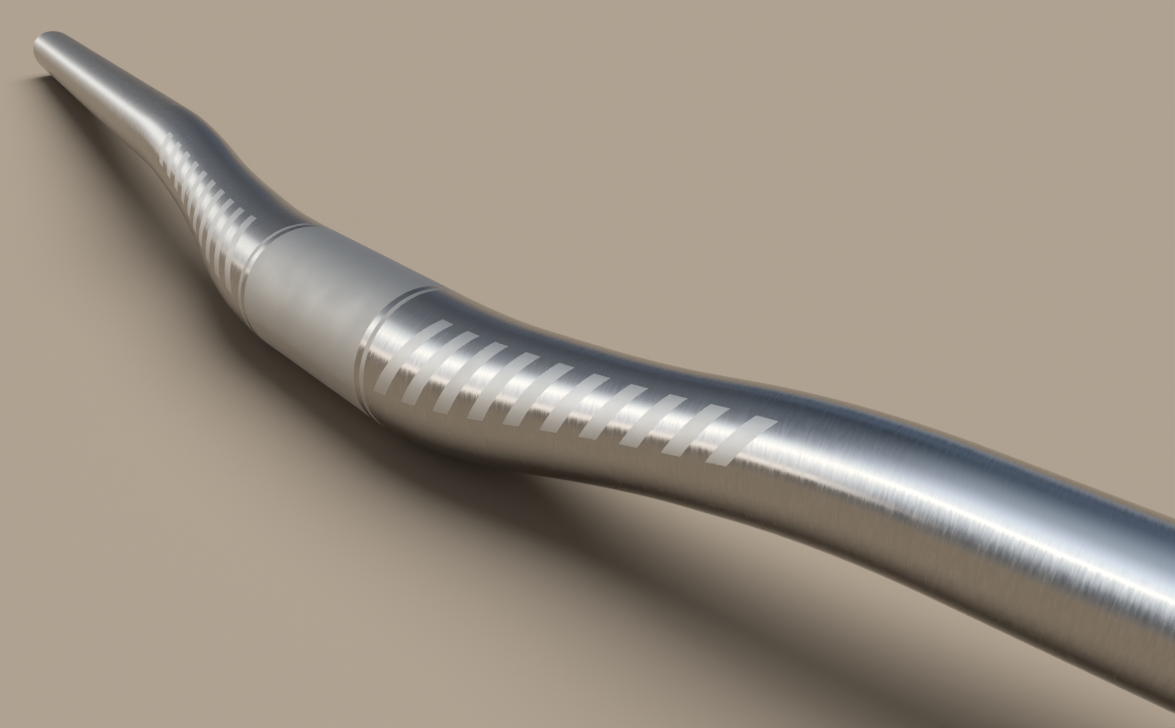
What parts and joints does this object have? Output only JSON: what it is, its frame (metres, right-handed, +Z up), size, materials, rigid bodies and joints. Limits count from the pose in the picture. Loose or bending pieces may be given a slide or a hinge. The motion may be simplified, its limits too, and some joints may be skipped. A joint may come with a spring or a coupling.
{
  "type": "riser handlebar",
  "caption": "Butted titanium riser handlebar: a straight stem clamp, drawn down over rising bends to swept grips, for steering a mountain bike.",
  "frame": {"origin": "centre of the clamp section, on the axis of the tube", "axes": "+X along the clamp towards the rider's left grip, +Z up from the table that the bar lies on, at Z = -15.9 mm. On a bicycle the bar is turned by 44.7 degrees about +X, so that its ramps rise straight up and its grips sweep back towards +Y."},
  "size_m": [0.8036, 0.0855, 0.0389],
  "materials": {
    "titanium": "brushed round the tube, with a bead-blasted clamp band"
  },
  "bodies": {
    "root": {"handlebar": "titanium"}
  },
  "joints": []
}
